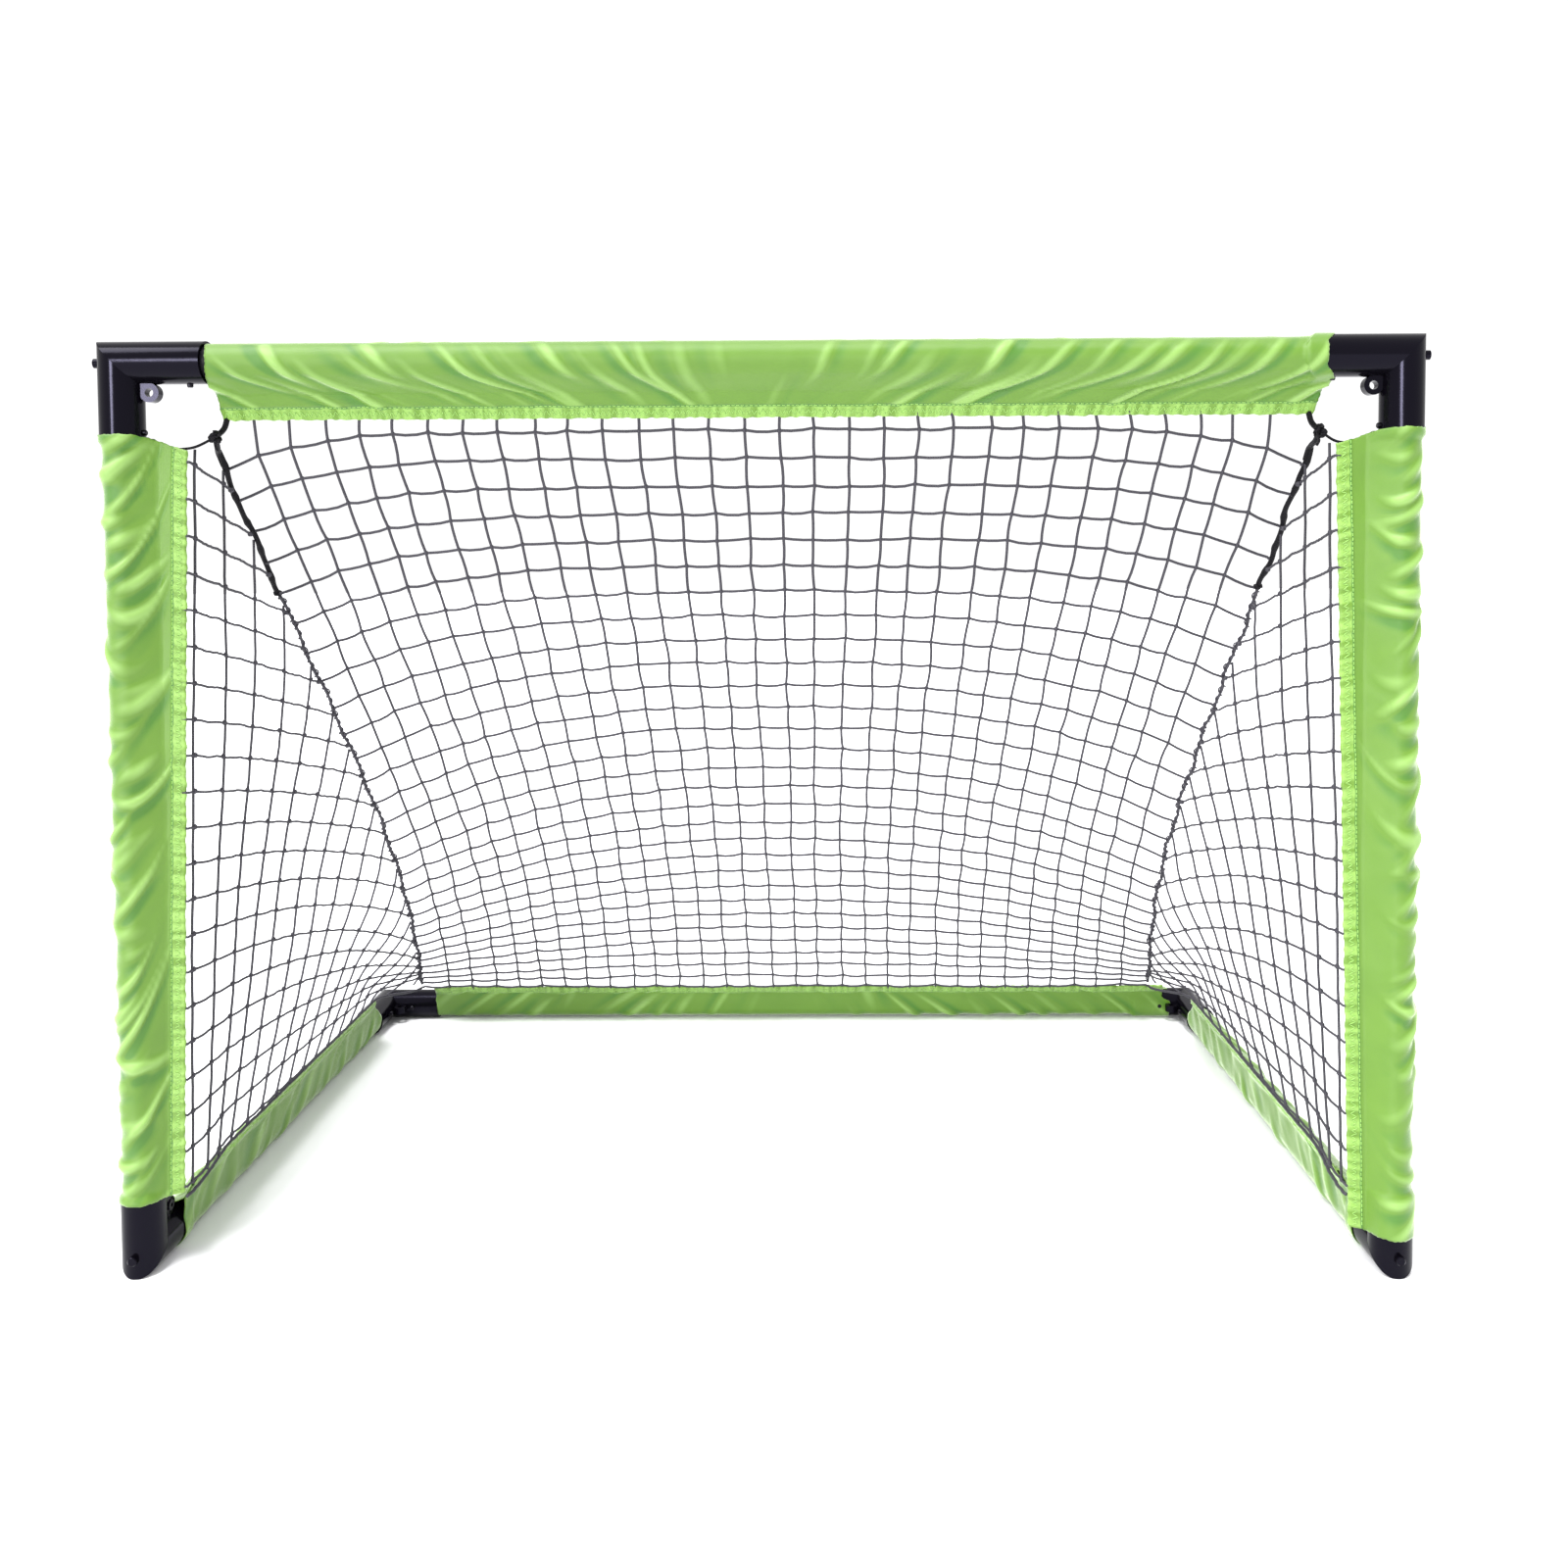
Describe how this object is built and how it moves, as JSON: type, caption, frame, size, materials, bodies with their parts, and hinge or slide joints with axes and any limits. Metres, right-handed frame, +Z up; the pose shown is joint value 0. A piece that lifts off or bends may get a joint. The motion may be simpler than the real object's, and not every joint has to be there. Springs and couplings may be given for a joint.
{
  "type": "folding street hockey goal",
  "caption": "Folding hockey goal: tube front frame hinged at the feet to a ground frame, moulded corners, fabric sleeves and a sloping net.",
  "frame": {"origin": "on the ground at the middle of the goal, under the centre of its box", "axes": "+X across the mouth to the right as seen from the shooter, +Y from the mouth towards the rear tube, +Z up"},
  "size_m": [1.25, 0.7465, 0.8915],
  "materials": {
    "black_plastic": "satin",
    "coated_tube": "satin",
    "zinc_steel": "satin",
    "lime_fabric": "matte",
    "black_netting": "matte"
  },
  "bodies": {
    "ground_frame": {"left_side_tube": "coated_tube", "right_side_tube": "coated_tube", "rear_tube": "coated_tube", "left_foot_side_half": "black_plastic", "right_foot_side_half": "black_plastic", "left_rear_elbow": "black_plastic", "right_rear_elbow": "black_plastic", "left_side_sleeve": "lime_fabric", "right_side_sleeve": "lime_fabric", "rear_sleeve": "lime_fabric", "back_net": "black_netting", "left_side_net": "black_netting", "right_side_net": "black_netting", "left_seam_cord": "black_netting", "right_seam_cord": "black_netting"},
    "front_frame": {"crossbar_tube": "coated_tube", "left_post_tube": "coated_tube", "right_post_tube": "coated_tube", "left_top_elbow": "black_plastic", "right_top_elbow": "black_plastic", "left_foot_post_half": "black_plastic", "right_foot_post_half": "black_plastic", "left_hinge_rivet": "zinc_steel", "right_hinge_rivet": "zinc_steel", "left_lock_spring": "zinc_steel", "right_lock_spring": "zinc_steel", "crossbar_sleeve": "lime_fabric", "left_post_sleeve": "lime_fabric", "right_post_sleeve": "lime_fabric", "left_corner_tie": "black_netting", "right_corner_tie": "black_netting"},
    "left_lock_button_body": {"left_lock_button": "black_plastic"},
    "right_lock_button_body": {"right_lock_button": "black_plastic"},
    "left_top_bar_snap_body": {"left_top_bar_snap": "zinc_steel"},
    "right_top_bar_snap_body": {"right_top_bar_snap": "zinc_steel"},
    "left_top_post_snap_body": {"left_top_post_snap": "zinc_steel"},
    "right_top_post_snap_body": {"right_top_post_snap": "zinc_steel"},
    "left_foot_post_snap_body": {"left_foot_post_snap": "zinc_steel"},
    "right_foot_post_snap_body": {"right_foot_post_snap": "zinc_steel"},
    "left_foot_side_snap_body": {"left_foot_side_snap": "zinc_steel"},
    "right_foot_side_snap_body": {"right_foot_side_snap": "zinc_steel"},
    "left_rear_side_snap_body": {"left_rear_side_snap": "zinc_steel"},
    "right_rear_side_snap_body": {"right_rear_side_snap": "zinc_steel"},
    "left_rear_bar_snap_body": {"left_rear_bar_snap": "zinc_steel"},
    "right_rear_bar_snap_body": {"right_rear_bar_snap": "zinc_steel"}
  },
  "joints": [
    {"name": "front_frame_fold", "type": "hinge", "parent": "ground_frame", "child": "front_frame", "pos_m": [0, -0.3185, 0.0485], "axis": [-1, 0, 0], "range_deg": [0, 90], "deforming": ["back_net", "left_side_net", "right_side_net", "left_seam_cord", "right_seam_cord"]},
    {"name": "left_lock_press", "type": "slide", "parent": "front_frame", "child": "left_lock_button_body", "axis": [0, 1, 0], "range_m": [0, 0.0035], "stiffness_N_per_m": 600, "deforming": ["left_lock_spring"]},
    {"name": "right_lock_press", "type": "slide", "parent": "front_frame", "child": "right_lock_button_body", "axis": [0, 1, 0], "range_m": [0, 0.0035], "stiffness_N_per_m": 600, "deforming": ["right_lock_spring"]},
    {"name": "left_top_bar_snap_press", "type": "slide", "parent": "front_frame", "child": "left_top_bar_snap_body", "axis": [0, 0, 1], "range_m": [0, 0.007], "stiffness_N_per_m": 600},
    {"name": "right_top_bar_snap_press", "type": "slide", "parent": "front_frame", "child": "right_top_bar_snap_body", "axis": [0, 0, 1], "range_m": [0, 0.007], "stiffness_N_per_m": 600},
    {"name": "left_top_post_snap_press", "type": "slide", "parent": "front_frame", "child": "left_top_post_snap_body", "axis": [-1, 0, 0], "range_m": [0, 0.007], "stiffness_N_per_m": 600},
    {"name": "right_top_post_snap_press", "type": "slide", "parent": "front_frame", "child": "right_top_post_snap_body", "axis": [1, 0, 0], "range_m": [0, 0.007], "stiffness_N_per_m": 600},
    {"name": "left_foot_post_snap_press", "type": "slide", "parent": "front_frame", "child": "left_foot_post_snap_body", "axis": [0, -1, 0], "range_m": [0, 0.007], "stiffness_N_per_m": 600},
    {"name": "right_foot_post_snap_press", "type": "slide", "parent": "front_frame", "child": "right_foot_post_snap_body", "axis": [0, -1, 0], "range_m": [0, 0.007], "stiffness_N_per_m": 600},
    {"name": "left_foot_side_snap_press", "type": "slide", "parent": "ground_frame", "child": "left_foot_side_snap_body", "axis": [0, 0, -1], "range_m": [0, 0.007], "stiffness_N_per_m": 600},
    {"name": "right_foot_side_snap_press", "type": "slide", "parent": "ground_frame", "child": "right_foot_side_snap_body", "axis": [0, 0, -1], "range_m": [0, 0.007], "stiffness_N_per_m": 600},
    {"name": "left_rear_side_snap_press", "type": "slide", "parent": "ground_frame", "child": "left_rear_side_snap_body", "axis": [-1, 0, 0], "range_m": [0, 0.007], "stiffness_N_per_m": 600},
    {"name": "right_rear_side_snap_press", "type": "slide", "parent": "ground_frame", "child": "right_rear_side_snap_body", "axis": [1, 0, 0], "range_m": [0, 0.007], "stiffness_N_per_m": 600},
    {"name": "left_rear_bar_snap_press", "type": "slide", "parent": "ground_frame", "child": "left_rear_bar_snap_body", "axis": [0, 1, 0], "range_m": [0, 0.007], "stiffness_N_per_m": 600},
    {"name": "right_rear_bar_snap_press", "type": "slide", "parent": "ground_frame", "child": "right_rear_bar_snap_body", "axis": [0, 1, 0], "range_m": [0, 0.007], "stiffness_N_per_m": 600}
  ]
}
